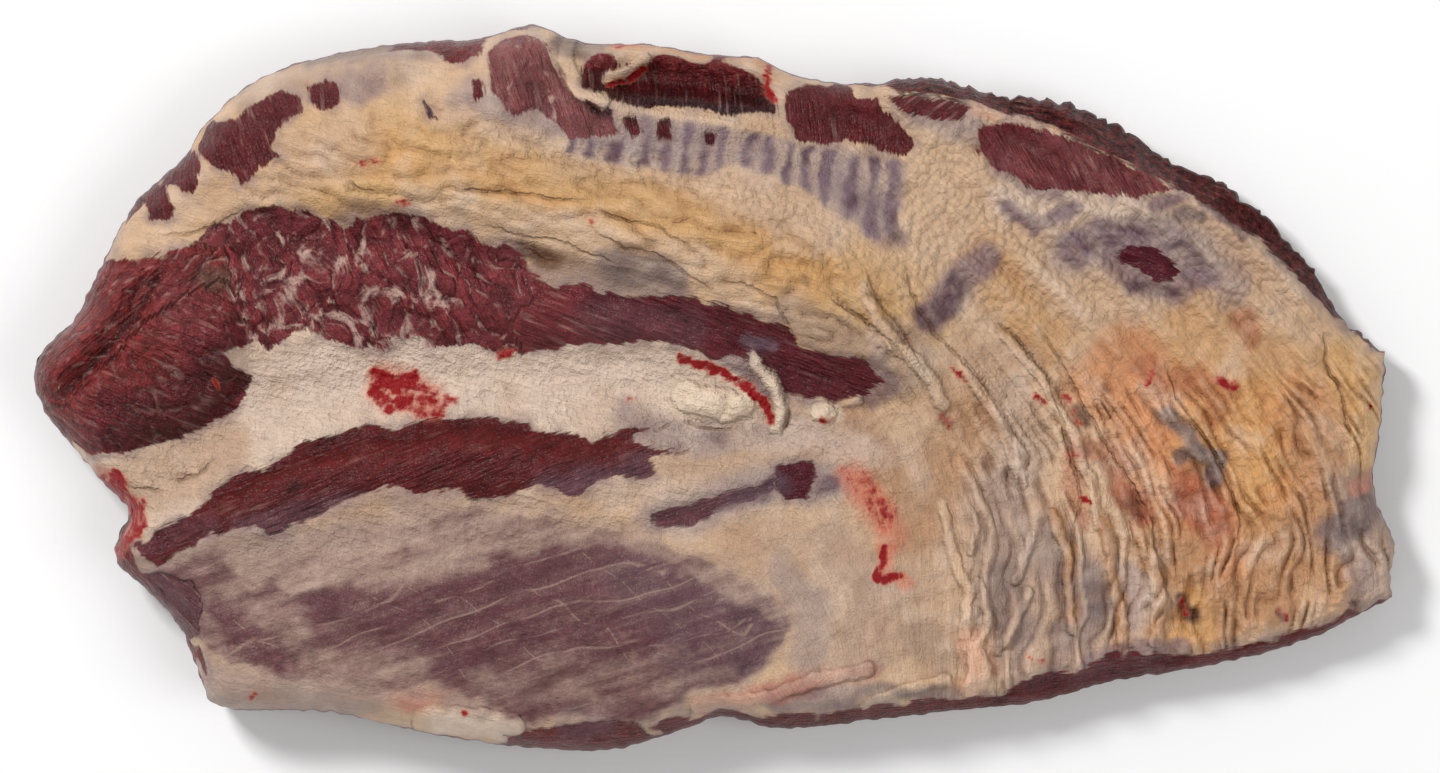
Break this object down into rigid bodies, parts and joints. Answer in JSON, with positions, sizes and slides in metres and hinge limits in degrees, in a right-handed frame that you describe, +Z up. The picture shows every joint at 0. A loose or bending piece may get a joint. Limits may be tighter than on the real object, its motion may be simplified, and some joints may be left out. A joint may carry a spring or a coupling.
{
  "type": "raw beef brisket",
  "caption": "Whole raw beef brisket lying flat, thick at the point end and thin at the flat end, with fat cap, bare muscle and folds.",
  "frame": {"origin": "middle of the footprint's bounding box, at the level the meat lies on", "axes": "+X along the length, from the thick point end to the thin flat end; +Y across, towards the edge behind the thick roll of fat; +Z up through the fat cap"},
  "size_m": [0.562, 0.299, 0.069],
  "materials": {
    "meat": "raw beef: cream to yellow fat cap over dark red muscle with marbling and silver skin, moist, soft gloss"
  },
  "bodies": {
    "root": {"brisket": "meat"}
  },
  "joints": []
}
